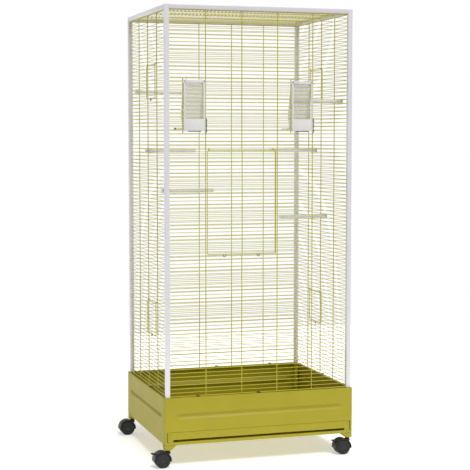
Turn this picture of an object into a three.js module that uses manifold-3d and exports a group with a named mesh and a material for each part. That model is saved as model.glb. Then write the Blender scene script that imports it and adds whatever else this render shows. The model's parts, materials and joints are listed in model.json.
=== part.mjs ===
// Tall flight cage on casters: square-tube frame, welded wire panels, sheet-metal base with a slide-out tray.
// Millimetres, +Z up, front towards -Y. The origin is on the floor under the middle of the whole outline,
// casters and brake tabs included.
import * as THREE from 'three';
import { ConvexGeometry } from 'three/addons/geometries/ConvexGeometry.js';
import { mergeVertices } from 'three/addons/utils/BufferGeometryUtils.js';
import Module from 'manifold-3d';

const wasm = await Module();
wasm.setup();

// ---- driving dimensions ----
const BAY = 122.4; // width between two uprights
const FRONT_BAYS = 5;
const SIDE_BAYS = 4;
const PITCH = 12.7; // spacing of the horizontal wires
const ROWS = 98; // gaps between the lowest and highest horizontal wire
const WIRE_STEP = 2; // every second horizontal wire is modelled, and each one that borders an opening
const WIRE = 2; // horizontal wires
const UPRIGHT = 3; // upright wires and panel edges
const TUBE = 15; // square frame tube
const TUBE_WALL = 1.2;
const CLEAR = 0.3; // gap between touching pieces
const PAST = 1; // how far a cutting block runs past what it cuts

const SHEET = 1.5; // base sheet metal
const BASE_HEIGHT = 155;
const BASE_BOTTOM = 72; // height of the base's lower edge above the floor
const BASE_PROUD = 5; // base face outside the tube face
const HEM_HEIGHT = 8;
const GROOVE_DROP = 61; // from the base's top edge to the middle of the pressed groove
const GROOVE_HEIGHT = 20;
const GROOVE_DEPTH = 5;
const GROOVE_FLOOR = 6; // height of the groove's flat bottom
const GROOVE_END = 28; // from the base's end to the groove's point
const GROOVE_TAPER = 14;
const SLOT_DROP = 112; // from the base's top edge to the top of the tray slot
const SLOT_HEIGHT = 33;
const SLOT_END = 7; // sheet left beside the slot
const SILL_DEPTH = 45; // fold inwards along the slot's lower edge

const TRAY_LIP = 25; // height of the tray's front lip
const TRAY_LIP_END = 18; // lip at each end that fills the slot down to its lower edge
const TRAY_WALL = 1.2;
const TRAY_DEPTH = 17;
const TRAY_LIP_GAP = 3; // between the lip and each end of the slot
const TRAY_SIDE_GAP = 3;
const TRAY_REAR_GAP = 16;
const RUNNER_REACH = 22;
const RUNNER_THICK = 1.5;
const RUNNER_HEIGHT = 24;

const DOOR_WIRE = 2;
const DOOR_STANDOFF = 0.7; // from the horizontal wires to the door's inner face
const DOOR_EDGE = 3; // width of a door's edge wires
const DOOR_LAP = 2.4; // from the opening's border line to the door's edge
const LOOP_RADIUS = 3.6;
const LOOP_BORE = 1.8;
const LOOP_WIDTH = 3;
const LOOP_INSET = 10;
const HOOK_WIDTH = 8;
const HOOK_DROP = 10;
const MAIN_DOOR_ROWS = [36, 63];
const MAIN_DOOR_GAP = 5.5; // between the main door's opening and the upright beside it
const SIDE_DOOR_ROWS = [[14, 23], [76, 85]];
const FEEDER_DOOR_ROWS = [67, 81];
const FEEDER_DOOR_WIDTH = 76;
const FEEDER_DOOR_THICK = 3;
const FEEDER_POST = 5; // width of the feeder door's side posts
const FEEDER_BAND = 8; // height of its top band
const FEEDER_FRONT = 41; // height of its solid lower part

const FEEDER_WIDTH = 66;
const FEEDER_DEPTH = 42;
const FEEDER_WALL = 2;
const CUP_HEIGHT = 40;
const HOOD_HEIGHT = 115;
const HOOD_TOP_DEPTH = 12;
const HOOD_HOOK = 6; // width of a hook that hangs the hood on the wire above it
const HOOD_HOOK_THICK = 2;
const CUP_ABOVE_SILL = 8;
const STUB_LENGTH = 29;
const STUB_RADIUS = 3.6;
const HINGE_ROD = 2.6;
const HINGE_EYES = [1, 3]; // gaps between wires, counted from the opening's lower border
const HINGE_SPAN = 4;

const PERCH_RADIUS = 6.5;
const PERCH_LENGTH = 168;
const PERCH_NECK = 2.4;
const PERCH_FLANGE = 10;
const PERCH_FLANGE_THICK = 3; // disc nut outside the wires
const PERCH_BOSS = 12; // boss inside them
// each perch: panel, distance across the panel seen from outside, wire gap it is bolted through
const PERCHES = [
  ['left', -166, 78], ['left', -14, 62], ['left', 200, 52],
  ['right', -178, 75], ['right', 60, 62], ['right', -40, 44],
];

const FOOT_TOP = 36;
const FOOT_BOTTOM = 22;
const FOOT_HEIGHT = 15;
const FOOT_EDGE = 3; // height of the foot's straight edge
const WHEEL_RADIUS = 25;
const WHEEL_WIDTH = 14;
const WHEEL_GAP = 0.8;
const WHEEL_BEVEL = 1.5;
const WEB_THICK = 9;
const CASTER_TRAIL = 20;
const FENDER_THICK = 3.2;
const FENDER_DROP = -4; // the fender's lower edge, measured from the axle
const WEB_RISE = 2; // web's rim inside the wheels' rim
const NOSE_REACH = 0.85; // of the collar's radius
const STEM_RADIUS = 4.5;
const STEM_LENGTH = 30;
const COLLAR_RADIUS = 8.5;
const AXLE_RADIUS = 3;
const WHEEL_SIDES = 24;
const BRAKE_LENGTH = 14;
const BRAKE_WIDTH = 20;
const BRAKE_THICK = 3;
const BRAKE_Z = 45;
const BRAKE_GAP = 0.9; // between the fender and the brake tab
const ROUND = 14; // sides of a round piece
const WELD = 1e-4; // corners nearer than this are one corner

// ---- worked-out sizes ----
const INNER_X = FRONT_BAYS * BAY;
const INNER_Y = SIDE_BAYS * BAY;
const HALF_X = INNER_X / 2 + TUBE; // to the tube's outer face
const HALF_Y = INNER_Y / 2 + TUBE;
const BASE_X = HALF_X + BASE_PROUD;
const BASE_Y = HALF_Y + BASE_PROUD;
const BASE_TOP = BASE_BOTTOM + BASE_HEIGHT;
const PANEL_Z = BASE_TOP + CLEAR + WIRE / 2; // middle of the lowest horizontal wire
const RAIL_Z = PANEL_Z + ROWS * PITCH + WIRE / 2 + CLEAR; // underside of the top rails
const TOP = RAIL_Z + TUBE;
// depths inside a panel, measured outwards from the tube's outer face
const ROW_OUT = -(TUBE - WIRE) / 2 + WIRE / 2;
const ROW_MID = ROW_OUT - WIRE / 2;
const UPRIGHT_OUT = ROW_OUT - WIRE - CLEAR;
const DOOR_IN = ROW_OUT + DOOR_STANDOFF;
const STEM_X = HALF_X - TUBE / 2;
const STEM_Y = HALF_Y - TUBE / 2;
const FOOT_Z = BASE_BOTTOM - CLEAR - FOOT_HEIGHT;
const SLOT_TOP = BASE_TOP - SLOT_DROP;
const SLOT_BOTTOM = SLOT_TOP - SLOT_HEIGHT;
const TRAY_Z = SLOT_TOP - CLEAR - TRAY_LIP;
const FENDER_OUT = WHEEL_RADIUS + WHEEL_GAP + FENDER_THICK;
const BRAKE_PIVOT = -CASTER_TRAIL - Math.sqrt(FENDER_OUT ** 2 - (BRAKE_Z - WHEEL_RADIUS) ** 2) - BRAKE_GAP;
// how far the brake tabs reach past the base's left face
const OVERHANG = STEM_X - BRAKE_PIVOT + BRAKE_LENGTH - BASE_X;
const CORNERS = [['front_left', -1, -1], ['front_right', 1, -1], ['rear_left', -1, 1], ['rear_right', 1, 1]];

// ---- finishes ----
function finish(color, roughness, metalness) {
  return new THREE.MeshStandardMaterial({ color, roughness, metalness });
}


const whiteEnamel = finish('#e9e8ec', 0.35, 0.1);
const olivePaint = finish('#b0a832', 0.4, 0.35);
const oliveWire = finish('#a8a548', 0.4, 0.5);
const clearPlastic = finish('#e8e8e6', 0.25, 0);
const whitePlastic = finish('#dfdfdc', 0.4, 0);
const blackPlastic = finish('#202022', 0.5, 0);
const darkWire = finish('#5a5632', 0.45, 0.6);

// ---- shape helpers ----
const rowZ = (row) => row * PITCH; // height of a horizontal wire above the lowest one
const rect = (x0, x1, y0, y1) => ({ x0, x1, y0, y1 });

function block(x0, x1, y0, y1, z0, z1) {
  const box = new THREE.BoxGeometry(x1 - x0, y1 - y0, z1 - z0);
  return box.translate((x0 + x1) / 2, (y0 + y1) / 2, (z0 + z1) / 2);
}

const rod = (radius, length) => new THREE.CylinderGeometry(radius, radius, length, ROUND);

function solid(geometry) {
  const bare = geometry.clone();
  bare.deleteAttribute('normal');
  bare.deleteAttribute('uv');
  const merged = mergeVertices(bare, WELD);
  const triVerts = new Uint32Array(merged.index.array);
  const vertProperties = new Float32Array(merged.attributes.position.array);
  const mesh = new wasm.Mesh({ numProp: 3, vertProperties, triVerts });
  return new wasm.Manifold(mesh);
}

function shell(manifold) {
  const mesh = manifold.getMesh();
  const geometry = new THREE.BufferGeometry();
  geometry.setAttribute('position', new THREE.BufferAttribute(mesh.vertProperties, 3));
  geometry.setIndex(new THREE.BufferAttribute(mesh.triVerts, 1));
  geometry.computeVertexNormals();
  return geometry;
}

const join = (...geometries) => shell(geometries.map(solid).reduce((sum, next) => sum.add(next)));
const cut = (body, ...tools) => (
  shell(tools.map(solid).reduce((left, tool) => left.subtract(tool), solid(body))));

// A flat rectangular plate, z0 to z0 + thick, with rectangular holes.
function plate(outline, holes, thick, z0) {
  const body = block(outline.x0, outline.x1, outline.y0, outline.y1, z0, z0 + thick);
  const tools = holes.map((hole) => (
    block(hole.x0, hole.x1, hole.y0, hole.y1, z0 - PAST, z0 + thick + PAST)));
  return cut(body, ...tools);
}

const cage = new THREE.Group();
cage.position.x = OVERHANG / 2;

function piece(parent, name, geometry, material) {
  const mesh = new THREE.Mesh(geometry, material);
  mesh.name = name;
  parent.add(mesh);
  return mesh;
}

// A wall group: x runs to the right and y up for someone facing the wall from outside, z points outwards.
function wall(angle, distance, height) {
  const turn = new THREE.Group();
  turn.rotation.z = angle;
  const face = new THREE.Group();
  face.position.set(0, -distance, height);
  face.rotation.x = Math.PI / 2;
  turn.add(face);
  cage.add(turn);
  return face;
}

const TURN = { front: 0, right: Math.PI / 2, rear: Math.PI, left: -Math.PI / 2 };
const isEnd = (side) => side === 'left' || side === 'right';

// ---- tube frame ----
function tube(length) {
  const half = TUBE / 2;
  const bore = half - TUBE_WALL;
  return plate(rect(-half, half, -half, half), [rect(-bore, bore, -bore, bore)], length, 0);
}

function post() {
  const low = BASE_BOTTOM;
  const half = TUBE / 2;
  const cap = block(-half, half, -half, half, TOP - TUBE, TOP);
  return join(tube(TOP - TUBE / 2 - low).translate(0, 0, low), cap);
}

for (const [side, signX, signY] of CORNERS) {
  const mesh = piece(cage, `post_${side}`, post(), whiteEnamel);
  mesh.position.set(signX * STEM_X, signY * STEM_Y, 0);
}

for (const side of ['front', 'rear', 'left', 'right']) {
  const span = (isEnd(side) ? INNER_Y : INNER_X) - 2 * CLEAR;
  const distance = (isEnd(side) ? HALF_X : HALF_Y) - TUBE / 2;
  const face = wall(TURN[side], distance, RAIL_Z + TUBE / 2);
  const mesh = piece(face, `top_rail_${side}`, tube(span).translate(0, 0, -span / 2), whiteEnamel);
  mesh.rotation.y = Math.PI / 2;
}

// ---- wire panels ----
// The modelled wires from low to high, each by its place in the row of real wires.
function wireRows(low, high, borders = []) {
  const places = new Set([low, high, ...borders]);
  for (let row = low; row < high; row += 1) if (row % WIRE_STEP === 0) places.add(row);
  return [...places].sort((a, b) => a - b);
}

// Horizontal wires with their edge wires, as a flat ladder. Each opening is { left, right, low, high } in
// panel widths and wire rows, and is bordered by upright edge wires.
function rows(width, count, pitch, openings) {
  const half = width / 2;
  const places = wireRows(0, count, openings.flatMap((o) => [o.low, o.high]));
  const holes = openings.map((o) => rect(o.left + UPRIGHT / 2, o.right - UPRIGHT / 2,
    o.low * pitch + WIRE / 2, o.high * pitch - WIRE / 2));
  for (let i = 0; i + 1 < places.length; i += 1) {
    const row = places[i];
    const next = places[i + 1];
    let start = -half + UPRIGHT;
    const crossed = openings.filter((o) => row >= o.low && row < o.high).sort((a, b) => a.left - b.left);
    for (const stop of [...crossed, { left: half - UPRIGHT / 2, right: half }]) {
      const end = stop.left - UPRIGHT / 2;
      if (end - start > UPRIGHT) {
        holes.push(rect(start, end, row * pitch + WIRE / 2, next * pitch - WIRE / 2));
      }
      start = stop.right + UPRIGHT / 2;
    }
  }
  return plate(rect(-half, half, -WIRE / 2, count * pitch + WIRE / 2), holes, WIRE, ROW_OUT - WIRE);
}

// Upright wires joined by one wire at the top and one at the bottom, behind the horizontal wires.
function uprights(width, height, bays, gaps) {
  const half = width / 2;
  const holes = [];
  for (let bay = 0; bay < bays; bay += 1) {
    const left = Math.max((bay - bays / 2) * BAY + UPRIGHT / 2, -half + UPRIGHT);
    const right = Math.min((bay + 1 - bays / 2) * BAY - UPRIGHT / 2, half - UPRIGHT);
    holes.push(rect(left, right, UPRIGHT - WIRE / 2, height - UPRIGHT + WIRE / 2));
  }
  const back = UPRIGHT_OUT - UPRIGHT;
  const frame = plate(rect(-half, half, -WIRE / 2, height + WIRE / 2), holes, UPRIGHT, back);
  if (gaps.length === 0) return frame;
  const tools = gaps.map(([x, low, high]) => (
    block(x - UPRIGHT, x + UPRIGHT, low, high, back - PAST, back + UPRIGHT + PAST)));
  return cut(frame, ...tools);
}

const MAIN_DOOR = {
  left: -1.5 * BAY,
  right: 0.5 * BAY - MAIN_DOOR_GAP,
  low: MAIN_DOOR_ROWS[0],
  high: MAIN_DOOR_ROWS[1],
};
const SIDE_DOORS = SIDE_DOOR_ROWS.map(([low, high]) => ({ left: 0, right: BAY, low, high }));
const FEEDER_DOORS = [-1.5 * BAY, 1.5 * BAY].map((hinge) => ({
  left: hinge - FEEDER_DOOR_WIDTH,
  right: hinge,
  low: FEEDER_DOOR_ROWS[0],
  high: FEEDER_DOOR_ROWS[1],
}));
const PANEL_OPENINGS = {
  front: [MAIN_DOOR, ...FEEDER_DOORS],
  rear: [],
  left: SIDE_DOORS,
  right: SIDE_DOORS,
};

const faces = {};
for (const side of ['front', 'rear', 'left', 'right']) {
  const bays = isEnd(side) ? SIDE_BAYS : FRONT_BAYS;
  const width = bays * BAY - 2 * CLEAR;
  faces[side] = wall(TURN[side], isEnd(side) ? HALF_X : HALF_Y, PANEL_Z);
  piece(faces[side], `${side}_panel_wires`, rows(width, ROWS, PITCH, PANEL_OPENINGS[side]), oliveWire);
  const gaps = side === 'front' ? [[-0.5 * BAY, rowZ(MAIN_DOOR.low), rowZ(MAIN_DOOR.high)]] : [];
  piece(faces[side], `${side}_panel_uprights`, uprights(width, ROWS * PITCH, bays, gaps), oliveWire);
}

// The roof's close wires run from front to rear, with cross wires under them.
const roofRows = Math.round(INNER_X / PITCH);
const roofPitch = (INNER_X - 2 * CLEAR - WIRE) / roofRows;
const roof = new THREE.Group();
roof.position.set(-INNER_X / 2 + CLEAR + WIRE / 2, 0, TOP);
roof.rotation.z = -Math.PI / 2;
cage.add(roof);
const roofDepth = INNER_Y - 2 * CLEAR;
piece(roof, 'roof_wires', rows(roofDepth, roofRows, roofPitch, []), oliveWire);
piece(roof, 'roof_cross_wires', uprights(roofDepth, roofRows * roofPitch, SIDE_BAYS, []), oliveWire);

// ---- doors ----
// A flat wire leaf with edge wires, closing an opening from outside.
function leaf(opening, stays) {
  const left = opening.left + DOOR_LAP;
  const right = opening.right - DOOR_LAP;
  const low = rowZ(opening.low) + DOOR_LAP;
  const high = rowZ(opening.high) - DOOR_LAP;
  const lines = [left, ...stays, right];
  const holes = [];
  const inner = wireRows(opening.low + 1, opening.high - 1).slice(1, -1).map(rowZ);
  const tops = [...inner.map((y) => y - WIRE / 2), high - DOOR_EDGE];
  const bottoms = [low + DOOR_EDGE, ...inner.map((y) => y + WIRE / 2)];
  bottoms.forEach((bottom, row) => {
    for (let i = 0; i + 1 < lines.length; i += 1) {
      const start = i === 0 ? left + DOOR_EDGE : lines[i] + DOOR_EDGE / 2;
      const end = i + 2 === lines.length ? right - DOOR_EDGE : lines[i + 1] - DOOR_EDGE / 2;
      holes.push(rect(start, end, bottom, tops[row]));
    }
  });
  return plate(rect(left, right, low, high), holes, DOOR_WIRE, DOOR_IN);
}

// A loop round the horizontal wire that the leaf hangs on, with its neck down to the leaf.
function hangingLoop(x, y) {
  const ring = new THREE.Shape().absarc(0, 0, LOOP_RADIUS, 0, 2 * Math.PI, false);
  ring.holes = [new THREE.Path().absarc(0, 0, LOOP_BORE, 0, 2 * Math.PI, true)];
  const left = x - LOOP_WIDTH / 2;
  const shape = { depth: LOOP_WIDTH, bevelEnabled: false, curveSegments: ROUND / 2 };
  const loop = new THREE.ExtrudeGeometry(ring, shape).rotateY(Math.PI / 2).translate(left, y, ROW_MID);
  const neck = block(left, left + LOOP_WIDTH, y - DOOR_LAP - DOOR_EDGE / 2, y, DOOR_IN, DOOR_IN + DOOR_WIRE);
  return join(loop, neck);
}

function topHungDoor(face, name, opening, stays, hooks) {
  const y = rowZ(opening.high);
  const loops = [opening.left + LOOP_INSET, opening.right - LOOP_INSET].map((x) => hangingLoop(x, y));
  const low = rowZ(opening.low) + DOOR_LAP;
  const tabs = hooks.map((x) => (
    block(x - HOOK_WIDTH / 2, x + HOOK_WIDTH / 2, low - HOOK_DROP, low + DOOR_EDGE / 2,
      DOOR_IN, DOOR_IN + DOOR_WIRE)));
  piece(face, name, join(leaf(opening, stays), ...loops, ...tabs), oliveWire);
}

const mainWidth = MAIN_DOOR.right - MAIN_DOOR.left;
const mainMiddle = (MAIN_DOOR.left + MAIN_DOOR.right) / 2;
const mainHooks = [mainMiddle - mainWidth / 4, mainMiddle + mainWidth / 4];
topHungDoor(faces.front, 'main_door', MAIN_DOOR, [-0.5 * BAY], mainHooks);
for (const side of ['left', 'right']) {
  SIDE_DOORS.forEach((opening, i) => {
    const level = i === 0 ? 'lower' : 'upper';
    topHungDoor(faces[side], `${side}_${level}_door`, opening, [], [(opening.left + opening.right) / 2]);
  });
}

// ---- feeders: hooded cups behind their own small doors ----
// A moulded door: solid in front of the cup, wires between its posts above that.
function feederDoor(opening) {
  const left = opening.left + DOOR_LAP;
  const right = opening.right - DOOR_LAP;
  const low = rowZ(opening.low) + PITCH / 2;
  const high = rowZ(opening.high) - PITCH / 2;
  const windowLow = low + FEEDER_FRONT;
  const windowHigh = high - FEEDER_BAND;
  const clear = wireRows(opening.low, opening.high).map(rowZ)
    .filter((y) => y > windowLow + WIRE && y < windowHigh - WIRE);
  const bottoms = [windowLow, ...clear.map((y) => y + WIRE / 2)];
  const tops = [...clear.map((y) => y - WIRE / 2), windowHigh];
  const holes = bottoms.map((bottom, i) => rect(left + FEEDER_POST, right - FEEDER_POST, bottom, tops[i]));
  return plate(rect(left, right, low, high), holes, FEEDER_DOOR_THICK, DOOR_IN);
}

// The hinge clip on the upright, with an eye at each height that the door's edge turns in.
function feederHinge(opening) {
  const near = opening.right - DOOR_LAP + FEEDER_DOOR_THICK / 4 + CLEAR; // clear of the door's turning edge
  const far = opening.right + UPRIGHT;
  const out = DOOR_IN + WIRE / 2 + HINGE_ROD;
  const eyes = HINGE_EYES.map((gap) => {
    const y = rowZ(opening.low + gap) + PITCH / 2;
    return block(near, far, y - HINGE_ROD / 2, y + HINGE_ROD / 2, DOOR_IN, out);
  });
  const low = rowZ(opening.low);
  const spine = block(opening.right, far, low + WIRE, low + HINGE_SPAN * PITCH, DOOR_IN, out);
  return join(spine, ...eyes);
}

// A hook from the hood's front over the wire above the opening.
function hoodHook(x, hoodTop, lintel, front) {
  const left = x - HOOD_HOOK / 2;
  const right = x + HOOD_HOOK / 2;
  const over = lintel + WIRE / 2 + CLEAR;
  const top = over + HOOD_HOOK_THICK;
  const inner = front - HOOD_HOOK_THICK;
  const out = ROW_OUT + CLEAR;
  return join(
    block(left, right, hoodTop - HOOD_HOOK, top, inner, front),
    block(left, right, over, top, inner, out + HOOD_HOOK_THICK),
    block(left, right, lintel - WIRE / 2, top, out, out + HOOD_HOOK_THICK));
}

function feeder(side, opening) {
  const face = faces.front;
  const middle = (opening.left + opening.right) / 2;
  const left = middle - FEEDER_WIDTH / 2;
  const right = middle + FEEDER_WIDTH / 2;
  const front = UPRIGHT_OUT - UPRIGHT - CLEAR;
  const back = front - FEEDER_DEPTH;
  const cupLow = rowZ(opening.low) + CUP_ABOVE_SILL;
  const cupTop = cupLow + CUP_HEIGHT;
  const hoodLow = cupTop + CLEAR;
  const hoodTop = hoodLow + HOOD_HEIGHT;
  const innerLeft = left + FEEDER_WALL;
  const innerRight = right - FEEDER_WALL;
  const innerFront = front - FEEDER_WALL;

  const pocket = block(innerLeft, innerRight, cupLow + FEEDER_WALL, cupTop + PAST,
    back + FEEDER_WALL, innerFront);
  const stub = rod(STUB_RADIUS, STUB_LENGTH + FEEDER_WALL / 2).rotateZ(Math.PI / 2);
  stub.translate(left - STUB_LENGTH / 2 + FEEDER_WALL / 4, cupLow + STUB_RADIUS * 2, front - FEEDER_DEPTH / 3);
  const cup = join(cut(block(left, right, cupLow, cupTop, back, front), pocket), stub);
  piece(face, `feeder_cup_${side}`, cup, whitePlastic);

  // Shallower towards the top and open to the rear.
  const wedge = new ConvexGeometry([left, right].flatMap((x) => [
    new THREE.Vector3(x, hoodLow, front),
    new THREE.Vector3(x, hoodTop, front),
    new THREE.Vector3(x, hoodTop, front - HOOD_TOP_DEPTH),
    new THREE.Vector3(x, hoodLow, back),
  ]));
  const inside = block(innerLeft, innerRight, hoodLow - PAST, hoodTop - FEEDER_WALL,
    back - PAST, innerFront);
  const hooks = [left + HOOK_WIDTH, right - HOOK_WIDTH]
    .map((x) => hoodHook(x, hoodTop, rowZ(opening.high), front));
  piece(face, `feeder_hood_${side}`, join(cut(wedge, inside), ...hooks), clearPlastic);

  piece(face, `feeder_door_${side}`, feederDoor(opening), whitePlastic);
  piece(face, `feeder_door_hinge_${side}`, feederHinge(opening), darkWire);
}
feeder('left', FEEDER_DOORS[0]);
feeder('right', FEEDER_DOORS[1]);

// ---- perches: rods bolted through a gap between two wires, with a disc nut outside ----
function perch() {
  const inner = UPRIGHT_OUT - UPRIGHT - CLEAR;
  const outer = ROW_OUT + CLEAR;
  const profile = [
    [0, inner - PERCH_LENGTH], [PERCH_RADIUS, inner - PERCH_LENGTH],
    [PERCH_RADIUS, inner - PERCH_BOSS], [PERCH_FLANGE, inner - PERCH_BOSS],
    [PERCH_FLANGE, inner], [PERCH_NECK, inner], [PERCH_NECK, outer], [PERCH_FLANGE, outer],
    [PERCH_FLANGE, outer + PERCH_FLANGE_THICK], [0, outer + PERCH_FLANGE_THICK],
  ].map(([r, y]) => new THREE.Vector2(r, y));
  return new THREE.LatheGeometry(profile, ROUND).rotateX(Math.PI / 2);
}
const seen = { left: 0, right: 0 };
for (const [side, across, gap] of PERCHES) {
  seen[side] += 1;
  const mesh = piece(faces[side], `perch_${side}_${seen[side]}`, perch(), whitePlastic);
  mesh.position.set(across, rowZ(gap) + PITCH / 2, 0);
}

// ---- base: four pressed sheets, tray and runners ----
// The groove's hollow, or the sheet round it where grow is the sheet's thickness.
function groovePrism(halfLength, middle, grow) {
  const mouth = GROOVE_HEIGHT / 2 + grow;
  const floor = GROOVE_FLOOR / 2 + grow;
  const open = grow > 0 ? -SHEET / 2 : PAST;
  const points = [];
  for (const end of [-1, 1]) {
    points.push([end * (halfLength + grow), middle, open]);
    for (const up of [-1, 1]) {
      points.push([end * (halfLength - GROOVE_TAPER), middle + up * mouth, open]);
      points.push([end * (halfLength - GROOVE_TAPER * 2), middle + up * floor, -GROOVE_DEPTH - grow]);
    }
  }
  return new ConvexGeometry(points.map(([x, y, z]) => new THREE.Vector3(x, y, z)));
}

function baseSheet(length, hemLength, slot) {
  const half = length / 2;
  const hemHalf = hemLength / 2;
  const hem = block(-hemHalf, hemHalf, BASE_HEIGHT - HEM_HEIGHT, BASE_HEIGHT,
    CLEAR - BASE_PROUD, -SHEET / 2);
  const middle = BASE_HEIGHT - GROOVE_DROP;
  const reach = half - GROOVE_END;
  const sheet = block(-half, half, 0, BASE_HEIGHT, -SHEET, 0);
  const pressed = cut(join(sheet, hem, groovePrism(reach, middle, SHEET)), groovePrism(reach, middle, 0));
  if (!slot) return pressed;
  const high = BASE_HEIGHT - SLOT_DROP;
  const low = high - SLOT_HEIGHT;
  const sillHalf = INNER_X / 2 - CLEAR;
  const sill = block(-sillHalf, sillHalf, low - SHEET, low, -SILL_DEPTH, -SHEET / 2);
  return join(cut(pressed, block(SLOT_END - half, half - SLOT_END, low, high, -BASE_PROUD, PAST)), sill);
}

const sideSheet = 2 * (BASE_Y - BASE_PROUD);
for (const side of ['front', 'rear', 'left', 'right']) {
  const face = wall(TURN[side], isEnd(side) ? BASE_X : BASE_Y, BASE_BOTTOM);
  const length = isEnd(side) ? sideSheet : 2 * BASE_X;
  const hemLength = isEnd(side) ? sideSheet - 2 * CLEAR : 2 * (BASE_X - BASE_PROUD);
  piece(face, `base_${side}`, baseSheet(length, hemLength, side === 'front'), olivePaint);
}

const trayHalf = INNER_X / 2 - TRAY_SIDE_GAP;
const trayFront = -BASE_Y + SHEET + CLEAR;
const trayRear = BASE_Y - SHEET - TRAY_REAR_GAP;
const panLow = TRAY_Z + CLEAR;
const pan = cut(
  block(-trayHalf, trayHalf, trayFront - SHEET / 2, trayRear, panLow, TRAY_Z + TRAY_DEPTH),
  block(TRAY_WALL - trayHalf, trayHalf - TRAY_WALL, trayFront + TRAY_WALL, trayRear - TRAY_WALL,
    panLow + TRAY_WALL, TRAY_Z + TRAY_DEPTH + PAST));
const lipHalf = BASE_X - SLOT_END - TRAY_LIP_GAP;
const gapHalf = lipHalf - TRAY_LIP_END;
const lip = cut(
  block(-lipHalf, lipHalf, CLEAR - BASE_Y, trayFront, SLOT_BOTTOM + CLEAR, TRAY_Z + TRAY_LIP),
  block(-gapHalf, gapHalf, -BASE_Y, 0, 0, TRAY_Z));
piece(cage, 'tray', join(pan, lip), olivePaint);

// An angle inside each end of the base: the tray slides on its flat leg.
for (const side of ['left', 'right']) {
  const outer = BASE_X - SHEET - CLEAR;
  const half = INNER_Y / 2 - CLEAR;
  const low = TRAY_Z - RUNNER_THICK;
  const leg = block(outer - RUNNER_REACH - TUBE / 2, outer, -half, half, low, TRAY_Z);
  const upright = block(outer - RUNNER_THICK, outer, -half, half, low, TRAY_Z + RUNNER_HEIGHT);
  const mesh = piece(cage, `tray_runner_${side}`, join(leg, upright), olivePaint);
  mesh.rotation.z = side === 'left' ? Math.PI : 0;
}

// ---- corner feet and casters ----
// A tapered block under one corner of the base, its two outer faces flush with the base, bored for the
// stem.
function foot(signX, signY) {
  const edge = BASE_X - STEM_X;
  const corners = (size, z) => (
    [[edge - size, edge - size], [edge, edge - size], [edge, edge], [edge - size, edge]])
    .map(([x, y]) => new THREE.Vector3(signX * x, signY * y, z));
  const top = FOOT_Z + FOOT_HEIGHT;
  const taper = new ConvexGeometry([
    ...corners(FOOT_TOP, top), ...corners(FOOT_TOP, top - FOOT_EDGE), ...corners(FOOT_BOTTOM, FOOT_Z)]);
  const bore = rod(STEM_RADIUS + CLEAR, FOOT_HEIGHT + 2 * PAST).rotateX(Math.PI / 2);
  bore.translate(0, 0, FOOT_Z + FOOT_HEIGHT / 2);
  return cut(taper, bore);
}

const round = (x, y, radius) => new THREE.Shape().absarc(x, y, radius, 0, 2 * Math.PI, false);

// An outline in the wheels' plane, thickened to a width across the caster.
function across(outline, width) {
  const shape = { depth: width, bevelEnabled: false, curveSegments: ROUND / 2 };
  const body = new THREE.ExtrudeGeometry(outline, shape);
  return body.rotateX(Math.PI / 2).translate(0, width / 2, 0);
}

// The housing: web between the wheels, fender over them, collar and stem. Axle along Y, wheels trailing
// to -X.
function housing() {
  const width = WEB_THICK + 2 * (WHEEL_WIDTH + WHEEL_GAP);
  const web = across(round(-CASTER_TRAIL, WHEEL_RADIUS, WHEEL_RADIUS - WEB_RISE), WEB_THICK);
  const dome = across(round(-CASTER_TRAIL, WHEEL_RADIUS, FENDER_OUT), width);
  const collarLow = WHEEL_RADIUS + COLLAR_RADIUS;
  const collar = rod(COLLAR_RADIUS, FOOT_Z - CLEAR - collarLow).rotateX(Math.PI / 2);
  collar.translate(0, 0, (FOOT_Z - CLEAR + collarLow) / 2);
  const webHalf = WEB_THICK / 2;
  const noseTop = collarLow + WEB_RISE;
  const nose = block(-CASTER_TRAIL, COLLAR_RADIUS * NOSE_REACH, -webHalf, webHalf, WHEEL_RADIUS, noseTop);
  const stemLow = FOOT_Z - 2 * CLEAR;
  const stem = rod(STEM_RADIUS, STEM_LENGTH).rotateX(Math.PI / 2).translate(0, 0, stemLow + STEM_LENGTH / 2);
  const axleBore = rod(AXLE_RADIUS + CLEAR, width).translate(-CASTER_TRAIL, 0, WHEEL_RADIUS);
  const wheelSpace = across(round(-CASTER_TRAIL, WHEEL_RADIUS, WHEEL_RADIUS + WHEEL_GAP), width + PAST);
  const domeEnd = -CASTER_TRAIL - FENDER_OUT - PAST;
  const belowDome = block(domeEnd, FENDER_OUT, -width, width, -FENDER_OUT, WHEEL_RADIUS + FENDER_DROP);
  const cover = cut(join(dome, collar), wheelSpace, belowDome);
  return cut(join(cover, web, nose, stem), axleBore);
}

function wheelset() {
  const near = WEB_THICK / 2 + WHEEL_GAP;
  const far = near + WHEEL_WIDTH;
  const rim = WHEEL_RADIUS - WHEEL_BEVEL;
  const edge = far - WHEEL_BEVEL;
  const profile = [
    [0, -far], [rim, -far], [WHEEL_RADIUS, -edge], [WHEEL_RADIUS, -near], [AXLE_RADIUS, -near],
    [AXLE_RADIUS, near], [WHEEL_RADIUS, near], [WHEEL_RADIUS, edge], [rim, far], [0, far],
  ].map(([r, y]) => new THREE.Vector2(r, y));
  return new THREE.LatheGeometry(profile, WHEEL_SIDES).translate(-CASTER_TRAIL, 0, WHEEL_RADIUS);
}

function brakeLever() {
  const end = BRAKE_PIVOT - BRAKE_LENGTH;
  return block(end, BRAKE_PIVOT, -BRAKE_WIDTH / 2, BRAKE_WIDTH / 2, BRAKE_Z, BRAKE_Z + BRAKE_THICK);
}

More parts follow.
